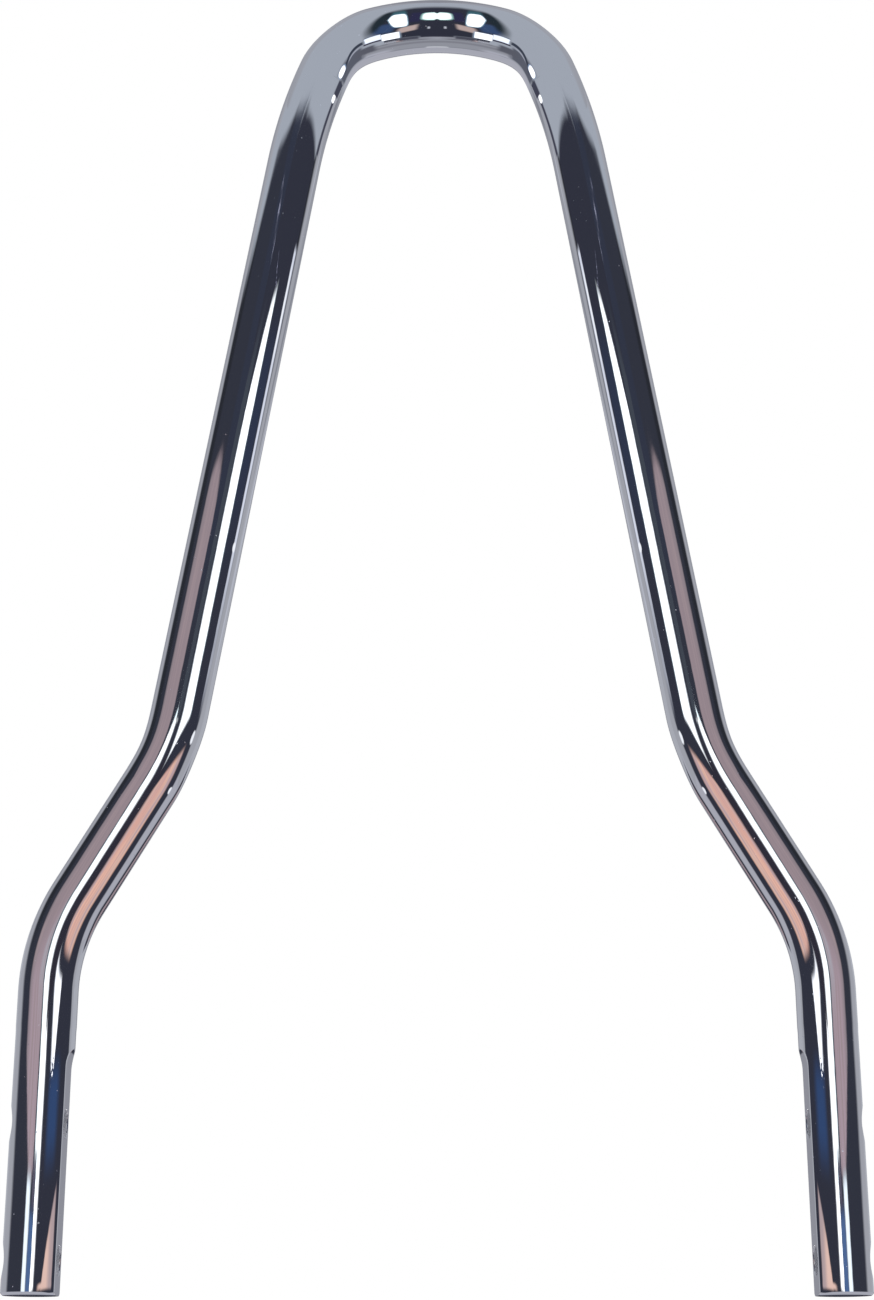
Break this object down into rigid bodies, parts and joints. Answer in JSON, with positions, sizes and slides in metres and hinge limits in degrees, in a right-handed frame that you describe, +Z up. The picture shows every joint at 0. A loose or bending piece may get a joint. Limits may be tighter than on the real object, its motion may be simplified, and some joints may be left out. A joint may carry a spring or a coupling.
{
  "type": "sissy bar",
  "caption": "Chromed upright hoop of round bar that stands behind a motorbike seat and bolts on by flats at its leg ends.",
  "frame": {"origin": "midway between the two leg ends, at the height of their sawn faces and on the plane of the bar's centreline", "axes": "+Z up along the legs to the crown, +X across the hoop from the left leg to the right leg, +Y to the rear"},
  "size_m": [0.2666, 0.019, 0.4614],
  "materials": {
    "chrome_plate": "polished chrome plate over solid steel bar"
  },
  "bodies": {
    "root": {"hoop": "chrome_plate"}
  },
  "joints": []
}
